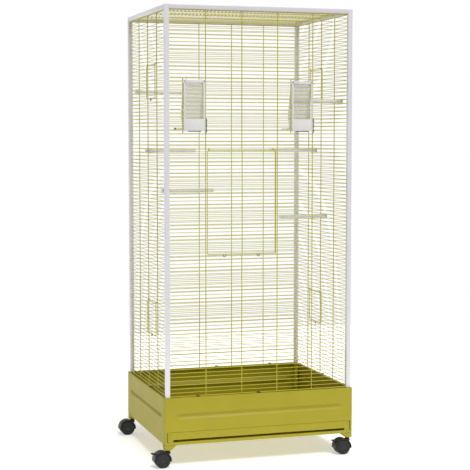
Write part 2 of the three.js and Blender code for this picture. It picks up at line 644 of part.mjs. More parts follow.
for (const [side, signX, signY] of CORNERS) {
  const corner = new THREE.Group();
  corner.position.set(signX * STEM_X, signY * STEM_Y, 0);
  cage.add(corner);
  piece(corner, `corner_foot_${side}`, foot(signX, signY), olivePaint);
  piece(corner, `caster_housing_${side}`, housing(), blackPlastic);
  piece(corner, `caster_wheels_${side}`, wheelset(), blackPlastic);
  if (signY < 0) piece(corner, `caster_brake_${side}`, brakeLever(), blackPlastic);
}

export default cage;
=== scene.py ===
# Tall flight cage on casters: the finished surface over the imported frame. Metres, +Z up, front towards -Y.
import json
import math

import bmesh
import bpy
from mathutils import Matrix, Vector


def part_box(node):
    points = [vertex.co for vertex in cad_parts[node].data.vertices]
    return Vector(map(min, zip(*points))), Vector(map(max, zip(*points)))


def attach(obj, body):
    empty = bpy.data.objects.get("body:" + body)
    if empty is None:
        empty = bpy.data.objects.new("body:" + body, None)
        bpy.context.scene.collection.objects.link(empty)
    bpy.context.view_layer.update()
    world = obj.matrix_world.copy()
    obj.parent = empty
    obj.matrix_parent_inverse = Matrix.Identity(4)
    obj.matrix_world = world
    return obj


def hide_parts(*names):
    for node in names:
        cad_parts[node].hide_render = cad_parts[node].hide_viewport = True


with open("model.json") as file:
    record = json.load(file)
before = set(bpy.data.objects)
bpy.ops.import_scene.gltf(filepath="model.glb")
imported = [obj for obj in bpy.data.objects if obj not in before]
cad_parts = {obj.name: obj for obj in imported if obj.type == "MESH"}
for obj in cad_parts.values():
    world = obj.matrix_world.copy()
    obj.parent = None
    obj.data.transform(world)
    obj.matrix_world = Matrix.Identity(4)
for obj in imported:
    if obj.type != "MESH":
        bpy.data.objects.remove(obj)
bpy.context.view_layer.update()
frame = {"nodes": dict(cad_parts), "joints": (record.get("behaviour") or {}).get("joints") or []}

MM = 0.001

# ---- sizes of the real pieces, in metres ----
BAY = 122.4 * MM  # width between two uprights
PITCH = 12.7 * MM  # spacing of the horizontal wires
ROWS = 98  # gaps between the lowest and highest horizontal wire
WIRE = 1.0 * MM  # radius of the close wires
UPRIGHT = 1.5 * MM  # radius of the stiff wires
WELD = 0.2 * MM  # how far welded wires sink into each other
TUBE_ROUND = 2.2 * MM  # corner radius of the square tube
HEM = 8 * MM
HEM_UNDER = 12 * MM  # width of the flange folded under the base
GROOVE_DROP = 61 * MM
GROOVE_HEIGHT = 20 * MM
GROOVE_DEPTH = 5 * MM
GROOVE_FLOOR = 6 * MM
GROOVE_END = 28 * MM
GROOVE_TAPER = 14 * MM
SLOT_DROP = 112 * MM
SLOT_HEIGHT = 33 * MM
SLOT_END = 7 * MM
SILL_DEPTH = 45 * MM  # fold inwards along the slot's lower edge
DOOR_LAP = 2.4 * MM  # from an opening's border line to the door's edge
DOOR_DEPTH = 2.7 * MM  # from the panel's close wires out to the door's wires
LIP_END = 18 * MM
FEEDER_POST = 5 * MM
FEEDER_BAND = 8 * MM
FEEDER_FRONT = 41 * MM  # height of the feeder door's solid part
HOOD_HEIGHT = 115 * MM
HOOD_TOP_DEPTH = 12 * MM
PERCH_BOSS = 12 * MM


# ---- shape helpers ----
def inset(outline, distance):
    """The closed outline moved inwards by a distance, with mitred corners."""
    area = sum(a[0] * b[1] - b[0] * a[1] for a, b in zip(outline, outline[1:] + outline[:1]))
    sign = 1 if area > 0 else -1
    moved = []
    for before, here, after in zip(outline[-1:] + outline[:-1], outline, outline[1:] + outline[:1]):
        normals = []
        for a, b in ((before, here), (here, after)):
            run = Vector((b[0] - a[0], b[1] - a[1])).normalized()
            normals.append(Vector((-run.y, run.x)) * sign)
        mitre = (normals[0] + normals[1]) / (1 + normals[0].dot(normals[1]))
        moved.append((here[0] + mitre.x * distance, here[1] + mitre.y * distance))
    return moved


def arc(centre, radius, start, stop, steps):
    """Points on an arc, angles in degrees."""
    angles = [math.radians(start + (stop - start) * i / steps) for i in range(steps + 1)]
    return [(centre[0] + radius * math.cos(a), centre[1] + radius * math.sin(a)) for a in angles]


def rounded_rectangle(x0, x1, y0, y1, radius, steps=4):
    corners = ((x1 - radius, y1 - radius, 0), (x0 + radius, y1 - radius, 90),
               (x0 + radius, y0 + radius, 180), (x1 - radius, y0 + radius, 270))
    return [p for x, y, start in corners for p in arc((x, y), radius, start, start + 90, steps)]


def bend(corners, radius, steps=5):
    """A path through the corners with each inner corner rounded to a radius."""
    corners = [Vector(c) for c in corners]
    path = [corners[0]]
    for before, here, after in zip(corners, corners[1:], corners[2:]):
        into = (here - before).normalized()
        out = (after - here).normalized()
        turn = into.angle(out)
        reach = radius * math.tan(turn / 2)
        centre = here + (out - into).normalized() * radius / math.cos(turn / 2)
        first = here - into * reach - centre
        axis = into.cross(out).normalized()
        path += [centre + Matrix.Rotation(turn * i / steps, 3, axis) @ first for i in range(steps + 1)]
    return path + [corners[-1]]


class Form:
    """Gathers the points and faces of one piece, placed by a matrix."""

    def __init__(self, place=None):
        self.place = place or Matrix()
        self.points = []
        self.faces = []
        self.looks = []

    def add(self, points, faces, look=0):
        start = len(self.points)
        self.points += [self.place @ Vector(p) for p in points]
        self.faces += [[start + i for i in face] for face in faces]
        self.looks += [look] * len(faces)

    def loft(self, rings, look=0, closed=False):
        """Skins rings of equal length, capped at both ends or closed on itself."""
        count = len(rings[0])
        faces = []
        for i in range(len(rings) if closed else len(rings) - 1):
            low, high = i * count, (i + 1) % len(rings) * count
            faces += [[low + j, low + (j + 1) % count, high + (j + 1) % count, high + j]
                      for j in range(count)]
        if not closed:
            faces += [list(range(count)), [(len(rings) - 1) * count + j for j in range(count)]]
        self.add([p for ring in rings for p in ring], faces, look)

    def sweep(self, path, radius, sides=8, closed=False, look=0):
        """Round wire along a path."""
        path = [Vector(p) for p in path]
        last = len(path) - 1
        runs = []
        for i in range(len(path)):
            before = path[i - 1] if i or closed else path[i]
            after = path[(i + 1) % len(path)] if i < last or closed else path[i]
            runs.append((after - before).normalized())
        side = runs[0].orthogonal().normalized()
        bends = [a.cross(b) for a, b in zip(runs, runs[1:]) if a.cross(b).length > 1e-4]
        if bends:
            side = bends[0].normalized()
        rings = []
        for here, run in zip(path, runs):
            side = (side - run * side.dot(run)).normalized()
            other = run.cross(side)
            turns = [2 * math.pi * j / sides for j in range(sides)]
            rings.append([here + side * radius * math.cos(t) + other * radius * math.sin(t) for t in turns])
        self.loft(rings, look, closed)

    def slab(self, outline, near, far, edge=0.4 * MM, look=0, axis="z"):
        """An outline thickened from near to far along an axis, its edges rounded."""
        turned = {
            "z": lambda x, y, d: (x, y, d),
            "y": lambda x, y, d: (x, d, y),
            "x": lambda x, y, d: (d, x, y),
        }[axis]
        steps = [(near, edge), (near + edge * 0.3, edge * 0.3), (near + edge, 0)]
        steps += [(far - edge, 0), (far - edge * 0.3, edge * 0.3), (far, edge)]
        self.loft([[turned(x, y, d) for x, y in inset(outline, cut)] for d, cut in steps], look)

    def box(self, low, high, edge=0.4 * MM, look=0):
        """A block with rounded edges."""
        radius = edge * 1.2
        self.slab(rounded_rectangle(low[0], high[0], low[1], high[1], radius, 3), low[2], high[2], edge, look)

    def lathe(self, profile, sides=24, look=0, axis="z", centre=(0, 0, 0)):
        """A profile of (radius, height) turned about an axis through a centre."""
        rings = []
        for radius, height in profile:
            ring = []
            for j in range(sides):
                x = radius * math.cos(2 * math.pi * j / sides)
                y = radius * math.sin(2 * math.pi * j / sides)
                turned = {"z": (x, y, height), "y": (x, height, y), "x": (height, x, y)}[axis]
                ring.append(Vector(centre) + Vector(turned))
            rings.append(ring)
        self.loft(rings, look)

    def open_box(self, x0, x1, y0, y1, low, high, wall, radius, draft=0.0, rim=0.0, look=0):
        """A box open at the top, with rounded corners, walls leaning out and an optional rim."""
        def ring(cut, z):
            return [(x, y, z) for x, y in inset(rounded_rectangle(x0, x1, y0, y1, radius), cut)]
        foot = 0.6 * wall
        rings = [ring(draft + rim + foot, low), ring(draft + rim, low + foot), ring(rim, high - 2 * wall)]
        if rim:
            rings += [ring(0, high - 2 * wall), ring(0, high - foot)]
        rings += [ring(foot * 0.4, high), ring(rim + wall - foot * 0.4, high), ring(rim + wall, high - foot)]
        rings += [ring(draft + rim + wall, low + wall + foot), ring(draft + rim + wall + foot, low + wall)]
        self.loft(rings, look)

    def piece(self, name, body, looks, replaces=(), smooth=35):
        """Makes the object, rides it on a body and gives it its finishes."""
        mesh = bpy.data.meshes.new(name)
        mesh.from_pydata([tuple(p) for p in self.points], [], self.faces)
        for look in looks:
            mesh.materials.append(look)
        mesh.polygons.foreach_set("material_index", self.looks)
        work = bmesh.new()
        work.from_mesh(mesh)
        bmesh.ops.recalc_face_normals(work, faces=work.faces[:])
        work.to_mesh(mesh)
        work.free()
        mesh.shade_smooth()
        mesh.set_sharp_from_angle(angle=math.radians(smooth))
        thing = bpy.data.objects.new(name, mesh)
        bpy.context.scene.collection.objects.link(thing)
        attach(thing, body)
        if replaces:
            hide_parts(*replaces)
        return thing


# ---- finishes ----
def linear(colour):
    """An sRGB hex colour as linear red, green, blue and alpha."""
    values = [int(colour[i:i + 2], 16) / 255 for i in (1, 3, 5)]
    return [v / 12.92 if v <= 0.04045 else ((v + 0.055) / 1.055) ** 2.4 for v in values] + [1]


def add(tree, kind, inputs=None, **settings):
    """Adds a node with its settings; an input is a value or another node's output."""
    node = tree.nodes.new(kind)
    for name, value in settings.items():
        setattr(node, name, value)
    for name, value in (inputs or {}).items():
        if isinstance(value, bpy.types.NodeSocket):
            tree.links.new(value, node.inputs[name])
        else:
            node.inputs[name].default_value = value
    return node


def new_finish(name):
    """An empty finish: its node tree, its surface shader and the place of each point on the piece."""
    finish = bpy.data.materials.new(name)
    finish.use_nodes = True
    tree = finish.node_tree
    tree.nodes.clear()
    shader = add(tree, "ShaderNodeBsdfPrincipled")
    add(tree, "ShaderNodeOutputMaterial", {"Surface": shader.outputs[0]})
    place = add(tree, "ShaderNodeTexCoord").outputs["Object"]
    return finish, tree, shader, place


def enamel(name, colour, deep, roughness, peel, peel_size, coat=0.0):
    """Sprayed and stoved enamel: an even colour that pools a little darker, with the slight orange peel of
    the spray, glossy with softer patches where it has been handled."""
    finish, tree, shader, place = new_finish(name)
    shader.inputs["IOR"].default_value = 1.5
    shader.inputs["Coat Weight"].default_value = coat
    shader.inputs["Coat Roughness"].default_value = 0.12
    pools = add(tree, "ShaderNodeTexNoise", {"Vector": place, "Scale": 1 / (90 * MM), "Detail": 3.0})
    tone = add(tree, "ShaderNodeMix", {"Factor": pools.outputs["Fac"], "A": linear(deep),
                                       "B": linear(colour)}, data_type="RGBA")
    tree.links.new(tone.outputs["Result"], shader.inputs["Base Color"])
    wear = add(tree, "ShaderNodeTexNoise", {"Vector": place, "Scale": 1 / (35 * MM), "Detail": 4.0})
    gloss = add(tree, "ShaderNodeMapRange", {"Value": wear.outputs["Fac"], "From Min": 0.3, "From Max": 0.7,
                                             "To Min": roughness - 0.05, "To Max": roughness + 0.07})
    tree.links.new(gloss.outputs["Result"], shader.inputs["Roughness"])
    grain = add(tree, "ShaderNodeTexNoise", {"Vector": place, "Scale": 1 / peel_size, "Detail": 2.0})
    skin = add(tree, "ShaderNodeBump", {"Height": grain.outputs["Fac"], "Strength": peel,
                                        "Distance": 0.1 * MM})
    tree.links.new(skin.outputs["Normal"], shader.inputs["Normal"])
    return finish


def moulded(name, colour, deep, roughness, texture, texture_size, ior=1.49):
    """Injection-moulded plastic: coloured right through, with a fine spark-eroded mould texture and faint
    flow marks."""
    finish, tree, shader, place = new_finish(name)
    shader.inputs["IOR"].default_value = ior
    flow = add(tree, "ShaderNodeTexNoise", {"Vector": place, "Scale": 1 / (18 * MM), "Detail": 2.0})
    tone = add(tree, "ShaderNodeMix", {"Factor": flow.outputs["Fac"], "A": linear(deep), "B": linear(colour)},
               data_type="RGBA")
    tree.links.new(tone.outputs["Result"], shader.inputs["Base Color"])
    gloss = add(tree, "ShaderNodeMapRange", {"Value": flow.outputs["Fac"], "To Min": roughness - 0.04,
                                             "To Max": roughness + 0.06})
    tree.links.new(gloss.outputs["Result"], shader.inputs["Roughness"])
    pits = add(tree, "ShaderNodeTexVoronoi", {"Vector": place, "Scale": 1 / texture_size})
    skin = add(tree, "ShaderNodeBump", {"Height": pits.outputs["Distance"], "Strength": texture,
                                        "Distance": 0.05 * MM})
    tree.links.new(skin.outputs["Normal"], shader.inputs["Normal"])
    return finish


def styrene(name, clarity):
    """Moulded polystyrene: see-through with a milky cast, and fine mould lines that blur what is behind."""
    finish, tree, shader, place = new_finish(name)
    shader.inputs["Base Color"].default_value = linear("#f4f4f2")
    shader.inputs["IOR"].default_value = 1.59
    shader.inputs["Transmission Weight"].default_value = clarity
    haze = add(tree, "ShaderNodeTexNoise", {"Vector": place, "Scale": 1 / (12 * MM), "Detail": 3.0})
    gloss = add(tree, "ShaderNodeMapRange", {"Value": haze.outputs["Fac"], "To Min": 0.12, "To Max": 0.34})
    tree.links.new(gloss.outputs["Result"], shader.inputs["Roughness"])
    skin = add(tree, "ShaderNodeBump", {"Height": haze.outputs["Fac"], "Strength": 0.15,
                                        "Distance": 0.2 * MM})
    tree.links.new(skin.outputs["Normal"], shader.inputs["Normal"])
    return finish


def plated_steel(name):
    """Zinc-plated steel: grey metal with the cloudy spangle of the plating."""
    finish, tree, shader, place = new_finish(name)
    shader.inputs["Metallic"].default_value = 1.0
    cloud = add(tree, "ShaderNodeTexNoise", {"Vector": place, "Scale": 1 / (4 * MM), "Detail": 4.0})
    tone = add(tree, "ShaderNodeMix", {"Factor": cloud.outputs["Fac"], "A": linear("#8d9095"),
                                       "B": linear("#c6c8ca")}, data_type="RGBA")
    tree.links.new(tone.outputs["Result"], shader.inputs["Base Color"])
    gloss = add(tree, "ShaderNodeMapRange", {"Value": cloud.outputs["Fac"], "To Min": 0.25, "To Max": 0.5})
    tree.links.new(gloss.outputs["Result"], shader.inputs["Roughness"])
    return finish


white_enamel = enamel("white stoved enamel", "#f0eff2", "#e6e5ea", 0.3, 0.25, 2.5 * MM, 0.3)
olive_enamel = enamel("olive stoved enamel on sheet", "#ada21c", "#a29714", 0.55, 0.4, 2.5 * MM)
wire_enamel = enamel("olive enamel on wire", "#d2c93e", "#bfb634", 0.4, 0.3, 3 * MM)
# Dark wire finish; it is also painted shade where it marks the shadow line under each feeder door and the
# shade round the olive base clips.
dark_wire_and_painted_shade = enamel("dark oiled wire and painted shade", "#4c4626", "#38331c", 0.45, 0.3, 2 * MM)
white_plastic = moulded("white moulded polypropylene", "#f5f5f3", "#eeeeeb", 0.42, 0.2, 0.8 * MM)
black_nylon = moulded("black glass-filled nylon", "#1d1d20", "#141416", 0.42, 0.4, 0.6 * MM, 1.53)
black_tread = moulded("black polyurethane tread", "#1c1c1e", "#141415", 0.6, 0.5, 0.9 * MM, 1.5)
clear_plastic = styrene("clear moulded polystyrene", 0.8)
zinc = plated_steel("zinc-plated steel")

# ---- the walls' own axes ----
TURN = {"front": 0, "right": 90, "rear": 180, "left": 270}


def facing(side, middle):
    """A wall's axes at a point: x right and y up for someone facing it from outside, z outwards."""
    turned = Matrix.Rotation(math.radians(TURN[side]), 4, "Z") @ Matrix.Rotation(math.radians(90), 4, "X")
    return Matrix.Translation(middle) @ turned


def wall(side):
    """The axes of a wire wall, from the middle of its lowest wire."""
    low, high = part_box(f"{side}_panel_wires")
    middle = (low + high) / 2
    middle.z = low.z + WIRE
    return facing(side, middle)


def spans(node, place):
    """A CAD node's lowest and highest corners in a wall's own axes."""
    back = place.inverted()
    corners = [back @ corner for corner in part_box(node)]
    lowest = Vector([min(c[i] for c in corners) for i in range(3)])
    highest = Vector([max(c[i] for c in corners) for i in range(3)])
    return lowest, highest


walls = {side: wall(side) for side in TURN}


def opening(door, side):
    """The opening that a door closes: left, right and the rows of its lowest and highest border wires."""
    low, high = spans(door, walls[side])
    if door.startswith("feeder"):
        rows = (round(low.y / PITCH - 0.5), round(high.y / PITCH + 0.5))
    else:
        rows = (math.ceil(low.y / PITCH), math.floor(high.y / PITCH))
    return low.x - DOOR_LAP, high.x + DOOR_LAP, rows[0], rows[1]


openings = {"rear": []}
openings["front"] = [opening(name, "front")
                     for name in ("main_door", "feeder_door_left", "feeder_door_right")]
for end in ("left", "right"):
    openings[end] = [opening(f"{end}_{level}_door", end) for level in ("lower", "upper")]

# ---- wire panels ----
DEEP = -(WIRE + UPRIGHT - WELD)  # uprights' middle behind the close wires


def close_wires(form, half, count, pitch, holes):
    """The close wires of a panel, cut off at the borders of each opening."""
    for row in range(count + 1):
        height = row * pitch
        start = -half
        crossed = sorted(hole for hole in holes if hole[2] < row < hole[3])
        for stop in crossed + [(half, half, 0, 0)]:
            form.sweep([(start, height, 0), (stop[0] + WIRE, height, 0)], WIRE)
            start = stop[1] - WIRE


def stiff_wire(form, x, low, high):
    form.sweep([(x, low, DEEP), (x, high, DEEP)], UPRIGHT)


def wire_panel(side):
    bays = round(2 * spans(f"{side}_panel_wires", walls[side])[1].x / BAY)
    half = bays * BAY / 2
    top = ROWS * PITCH
    form = Form(walls[side])
    close_wires(form, half, ROWS, PITCH, openings[side])
    places = [(bay - bays / 2) * BAY for bay in range(1, bays)]
    for x in places:
        blocked = [hole for hole in openings[side] if hole[0] + BAY / 4 < x < hole[1] - BAY / 4]
        ends = [-WIRE] + [row * PITCH for hole in blocked for row in hole[2:]] + [top + WIRE]
        for first, last in zip(ends[::2], ends[1::2]):
            stiff_wire(form, x, first, last)
    for left, right, first, last in openings[side]:
        for x in (left, right):
            if min(abs(x - place) for place in places) > UPRIGHT:
                stiff_wire(form, x, first * PITCH - WIRE, last * PITCH + WIRE)
    for height in (0, top):
        form.sweep([(-half, height, DEEP), (half, height, DEEP)], UPRIGHT)
    form.piece(f"{side}_wire_panel", "root", [wire_enamel],
               [f"{side}_panel_wires", f"{side}_panel_uprights"])


for side in TURN:
    wire_panel(side)

# The roof's close wires run from front to rear over its cross wires.
roof_low, roof_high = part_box("roof_wires")
roof_middle = (roof_low + roof_high) / 2
roof_place = Matrix.Translation((roof_low.x + WIRE, roof_middle.y, roof_middle.z))
roof_place = roof_place @ Matrix.Rotation(math.radians(-90), 4, "Z")
roof_half = (roof_high.y - roof_low.y) / 2
roof_span = roof_high.x - roof_low.x - 2 * WIRE
roof = Form(roof_place)
close_wires(roof, roof_half, round(roof_span / PITCH), roof_span / round(roof_span / PITCH), [])
for step in range(5):
    across = min(max((step - 2) * BAY, UPRIGHT - roof_half), roof_half - UPRIGHT)
    roof.sweep([(across, -WIRE, DEEP), (across, roof_span + WIRE, DEEP)], UPRIGHT)
roof.piece("roof_wire_panel", "root", [wire_enamel], ["roof_wires", "roof_cross_wires"])


# ---- doors ----
LOOP = 2.5 * MM  # radius of a hanging loop's middle line
LOOP_STRIP = 0.8 * MM
LOOP_HALF = 2 * MM
CLIP = 8 * MM  # width of a latch clip
CLIP_DROP = 9 * MM


def door_leaf(form, hole, stays):
    """A door's edge wire bent round in one loop, its close wires and its stays."""
    edge = 1.4 * MM
    left, right = hole[0] + DOOR_LAP + edge, hole[1] - DOOR_LAP - edge
    low, high = hole[2] * PITCH + DOOR_LAP + edge, hole[3] * PITCH - DOOR_LAP - edge
    loop = [(x, y, DOOR_DEPTH) for x, y in rounded_rectangle(left, right, low, high, 4 * MM)]
    form.sweep(loop, edge, closed=True)
    for row in range(hole[2] + 1, hole[3]):
        form.sweep([(left, row * PITCH, DOOR_DEPTH), (right, row * PITCH, DOOR_DEPTH)], WIRE)
    for x in stays:
        form.sweep([(x, low, DOOR_DEPTH - WIRE), (x, high, DOOR_DEPTH - WIRE)], UPRIGHT)
    return left, right, low, high


def hung_door(name, side, stays, clips):
    """A door that swings up on two loops round the wire above it, held shut by spring clips at its foot."""
    hole = openings_of[name]
    form = Form(walls[side])
    left, right, low, high = door_leaf(form, hole, stays)
    hinge = hole[3] * PITCH
    for x in (hole[0] + 10 * MM, hole[1] - 10 * MM):
        ring = [(y, z) for y, z in arc((hinge, 0), LOOP + LOOP_STRIP, -110, 200, 18)]
        ring += [(y, z) for y, z in arc((hinge, 0), LOOP - LOOP_STRIP, 200, -110, 18)]
        form.slab(ring, x - LOOP_HALF, x + LOOP_HALF, 0.3 * MM, axis="x")
        form.box((x - LOOP_HALF, high - 1 * MM, DOOR_DEPTH - 0.4 * MM),
                 (x + LOOP_HALF, hinge - LOOP + 0.6 * MM, DOOR_DEPTH + 1 * MM), 0.3 * MM)
    for share in clips:
        x = left + (right - left) * share
        foot = low - CLIP_DROP
        path = bend([(x - CLIP / 2, low, DOOR_DEPTH), (x - CLIP / 2, foot, DOOR_DEPTH),
                     (x + CLIP / 2, foot, DOOR_DEPTH), (x + CLIP / 2, low, DOOR_DEPTH)], 3 * MM)
        form.sweep(path, 0.95 * MM, look=1)
    form.piece(name + "_leaf", name, [wire_enamel, dark_wire_and_painted_shade], [name])


openings_of = {"main_door": openings["front"][0]}
for end in ("left", "right"):
    for level, hole in zip(("lower", "upper"), openings[end]):
        openings_of[f"{end}_{level}_door"] = hole
hung_door("main_door", "front", [-0.5 * BAY], (0.25, 0.75))
for end in ("left", "right"):
    for level in ("lower", "upper"):
        hung_door(f"{end}_{level}_door", end, [], (0.5,))


# ---- feeders ----
def feeder_door(side, hole):
    """A moulded door, solid in front of the cup, with wires between its posts above that."""
    name = f"feeder_door_{side}"
    low, high = spans(name, walls["front"])
    form = Form(walls["front"])
    middle = (low.z + high.z) / 2
    for x in (low.x, high.x - FEEDER_POST):
        form.box((x, low.y, low.z), (x + FEEDER_POST, high.y, high.z), 0.7 * MM)
    form.box((low.x + 1 * MM, high.y - FEEDER_BAND, low.z), (high.x - 1 * MM, high.y, high.z), 0.7 * MM)
    form.box((low.x + 1 * MM, low.y + 3 * MM, low.z),
             (high.x - 1 * MM, low.y + FEEDER_FRONT, high.z - 0.3 * MM), 0.7 * MM)
    for row in range(hole[2], hole[3]):
        if low.y + FEEDER_FRONT + WIRE < row * PITCH < high.y - FEEDER_BAND - WIRE:
            wire = [(low.x + 1 * MM, row * PITCH, middle), (high.x - 1 * MM, row * PITCH, middle)]
            form.sweep(wire, WIRE, look=1)
    # A dark bar along the door's foot, in the dark wire finish: painted shade for the shadow line under the
    # moulding.
    form.sweep([(low.x + 14 * MM, low.y + 1.4 * MM, middle), (high.x - 14 * MM, low.y + 1.4 * MM, middle)],
               1.3 * MM, look=2)
    form.piece(name + "_moulding", name, [white_plastic, wire_enamel, dark_wire_and_painted_shade], [name])


def feeder_hinge(side, hole):
    """The dark clip on the upright that the door's edge turns in, with a bead at each eye."""
    low, high = spans(f"feeder_door_hinge_{side}", walls["front"])
    form = Form(walls["front"])
    stay = hole[1] + UPRIGHT
    pin = hole[1] - DOOR_LAP
    out = DOOR_DEPTH + 1.4 * MM
    foot, head = low.y + 2 * MM, high.y - 2 * MM
    clip = [(pin, foot, out), (stay, foot, out), (stay, head, out), (pin, head, out)]
    form.sweep(bend(clip, 2 * MM), 1.1 * MM)
    for height in (low.y + 8 * MM, (low.y + high.y) / 2, high.y - 8 * MM):
        bead = [(0.8, -2.2), (2.0, -1.4), (2.3, 0), (2.0, 1.4), (0.8, 2.2)]
        form.lathe([(r * MM, height + y * MM) for r, y in bead], 14, axis="y", centre=(stay, 0, out))
    form.piece(f"feeder_hinge_wire_{side}", "root", [dark_wire_and_painted_shade], [f"feeder_door_hinge_{side}"])


def feeder(side, hole):
    """The cup with its perch stub, and the clear hood over it."""
    place = walls["front"]
    upright = place @ Matrix.Rotation(math.radians(-90), 4, "X")
    low, high = spans(f"feeder_cup_{side}", place)
    hood_low, hood_high = spans(f"feeder_hood_{side}", place)
    left, right = hood_low.x, hood_high.x
    front, back = -high.z, -low.z
    cup = Form(upright)
    cup.open_box(left, right, front, back, low.y, high.y, 2 * MM, 5 * MM, draft=2 * MM, rim=1.2 * MM)
    axle = (0, front + (back - front) / 3, low.y + 7.2 * MM)
    cup.lathe([(3.2 * MM, left + 3 * MM), (3.2 * MM, low.x + 8 * MM), (3.6 * MM, low.x + 7 * MM),
               (3.6 * MM, low.x + 5 * MM)], 20, axis="x", centre=axle)
    tip = 1 if side == "left" else 0
    cup.lathe([(3.6 * MM, low.x + 5 * MM), (3.6 * MM, low.x + 0.8 * MM), (2.8 * MM, low.x)], 20, tip,
              axis="x", centre=axle)
    cup.piece(f"feeder_cup_moulding_{side}", "root", [white_plastic, dark_wire_and_painted_shade],
              [f"feeder_cup_{side}"])

    thick = 2 * MM
    bow = 6 * MM

    def walls_at(depth, height):
        """The hood's front and side walls at a height, open to the rear."""
        rear = front + depth
        outer = [(left, rear)] + arc((left + bow, front + bow), bow, 180, 270, 5)
        outer += arc((right - bow, front + bow), bow, 270, 360, 5) + [(right, rear)]
        inner = [(right - thick, rear)] + arc((right - bow, front + bow), bow - thick, 360, 270, 5)
        inner += arc((left + bow, front + bow), bow - thick, 270, 180, 5) + [(left + thick, rear)]
        return [(x, y, height) for x, y in outer + inner]

    top = hood_low.y + HOOD_HEIGHT
    hood = Form(upright)
    hood.loft([walls_at(back - front, hood_low.y), walls_at(HOOD_TOP_DEPTH, top - thick / 2)])
    lid = [(x, y) for x, y, _ in walls_at(HOOD_TOP_DEPTH, top)[:14]]
    hood.slab(lid, top - thick, top, 0.5 * MM)
    hook_top = hood_high.y - 1 * MM
    for x in (left + 8 * MM, right - 8 * MM):
        hook = [(x, front + 1.2 * MM, top - 6 * MM), (x, front + 1.2 * MM, hook_top),
                (x, -1.4 * MM, hook_top), (x, -1.4 * MM, hook_top - 3.5 * MM)]
        hood.sweep(bend(hook, 1 * MM), 1 * MM)
    hood.piece(f"feeder_hood_moulding_{side}", "root", [clear_plastic], [f"feeder_hood_{side}"])


for side, hole in zip(("left", "right"), openings["front"][1:]):
    feeder_door(side, hole)
    feeder_hinge(side, hole)
    feeder(side, hole)


# ---- perches ----
def perch(side, index):
    name = f"perch_{side}_{index}"
    low, high = spans(name, walls[side])
    middle = (low + high) / 2
    flange = (high.x - low.x) / 2
    radius = 6.3 * MM
    form = Form(walls[side] @ Matrix.Translation((middle.x, middle.y, 0)))
    tip = low.z
    collar = DEEP - UPRIGHT - 0.2 * MM
    profile = [(radius - 3 * MM, tip), (radius - 0.8 * MM, tip + 0.8 * MM), (radius, tip + 3 * MM)]
    depth = tip + 8 * MM
    while depth < collar - PERCH_BOSS - 8 * MM:
        profile += [(radius, depth), (radius - 0.5 * MM, depth + 0.8 * MM),
                    (radius - 0.5 * MM, depth + 1.8 * MM),
                    (radius, depth + 2.6 * MM)]
        depth += 8 * MM
    boss = collar - PERCH_BOSS
    profile += [(radius, boss), (flange - 1.2 * MM, boss), (flange, boss + 1.2 * MM),
                (flange, collar - 4 * MM), (flange - 0.8 * MM, collar - 3.4 * MM),
                (flange, collar - 2.6 * MM), (flange, collar - 0.8 * MM),
                (flange - 0.8 * MM, collar)]
    profile += [(2.3 * MM, collar), (2.3 * MM, high.z - 0.5 * MM), (1.8 * MM, high.z)]
    form.lathe(profile, 24)
    lobes = []
    for i in range(48):
        reach = flange - 1 * MM + 0.9 * MM * math.cos(8 * 2 * math.pi * i / 48)
        lobes.append((reach * math.cos(2 * math.pi * i / 48), reach * math.sin(2 * math.pi * i / 48)))
    form.slab(lobes, WIRE + 0.1 * MM, high.z - 0.6 * MM, 0.4 * MM)
    form.piece(name + "_rod", "root", [white_plastic], [name])


for side in ("left", "right"):
    for index in (1, 2, 3):
        perch(side, index)

# ---- square-tube frame, painted like the base where it stands inside it ----
base_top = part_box("base_front")[1].z
CORNERS = ("front_left", "front_right", "rear_left", "rear_right")
for corner in CORNERS:
    low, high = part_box(f"post_{corner}")
    post = Form()
    section = rounded_rectangle(low.x, high.x, low.y, high.y, TUBE_ROUND)
    cap = high.z - 4 * MM
    post.slab(section, low.z, base_top, 0.3 * MM, 2)
    post.slab(section, base_top, cap, 0.3 * MM)
    rings = []
    for height, cut in ((cap - 1 * MM, 0.6), (cap, 0.2), (cap + 0.3 * MM, 0.0), (high.z - 1.6 * MM, 0.0),
                        (high.z - 0.6 * MM, 0.5), (high.z, 2.0)):
        rings.append([(x, y, height) for x, y in inset(section, cut * MM)])
    post.loft(rings, 1)
    post.piece(f"post_tube_{corner}", "root", [white_enamel, white_plastic, olive_enamel],
               [f"post_{corner}"])

for side in TURN:
    low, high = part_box(f"top_rail_{side}")
    rail = Form()
    if side in ("front", "rear"):
        section = rounded_rectangle(low.y, high.y, low.z, high.z, TUBE_ROUND)
        rail.slab(section, low.x, high.x, 0.2 * MM, axis="x")
    else:
        section = rounded_rectangle(low.x, high.x, low.z, high.z, TUBE_ROUND)
        rail.slab(section, low.y, high.y, 0.2 * MM, axis="y")
    rail.piece(f"top_rail_tube_{side}", "root", [white_enamel], [f"top_rail_{side}"])


# ---- pressed base sheets ----
def groove(across, up, reach):
    """Depth of the pressed groove at a distance across the sheet and above its middle line."""
    bevel = GROOVE_DEPTH / (GROOVE_HEIGHT / 2 - GROOVE_FLOOR / 2)
    point = GROOVE_DEPTH / (2 * GROOVE_TAPER - GROOVE_FLOOR / 2 * GROOVE_TAPER / (GROOVE_HEIGHT / 2))
    walls_depth = bevel * (GROOVE_HEIGHT / 2 - abs(up))
    end_depth = point * (reach - abs(across) - abs(up) * GROOVE_TAPER / (GROOVE_HEIGHT / 2))
    return max(0.0, min(GROOVE_DEPTH, walls_depth, end_depth))


